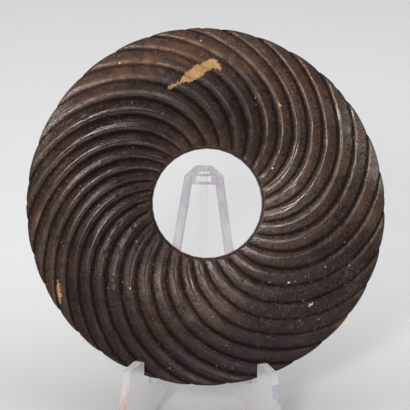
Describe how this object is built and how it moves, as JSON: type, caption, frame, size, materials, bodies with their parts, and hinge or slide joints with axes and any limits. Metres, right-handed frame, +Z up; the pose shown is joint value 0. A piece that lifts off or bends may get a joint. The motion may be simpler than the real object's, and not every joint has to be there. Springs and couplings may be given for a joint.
{
  "type": "jade bi disc on display easel",
  "caption": "Carved dark stone ring disc with swirling flutes on its face, leaning back on a small clear plastic display easel.",
  "frame": {"origin": "middle of the easel's footprint on the surface it stands on, under the disc's centre", "axes": "+Z up, the carved front of the disc faces -Y and leans back towards +Y, +X is to the right seen from the front"},
  "size_m": [0.125, 0.0802, 0.1334],
  "materials": {
    "jade": "polished, worn, with earth in the grooves",
    "clear_plastic": "clear, moulded, glossy"
  },
  "bodies": {
    "root": {"bi_disc": "jade", "easel_frame": "clear_plastic", "easel_rear_leg": "clear_plastic"}
  },
  "joints": []
}
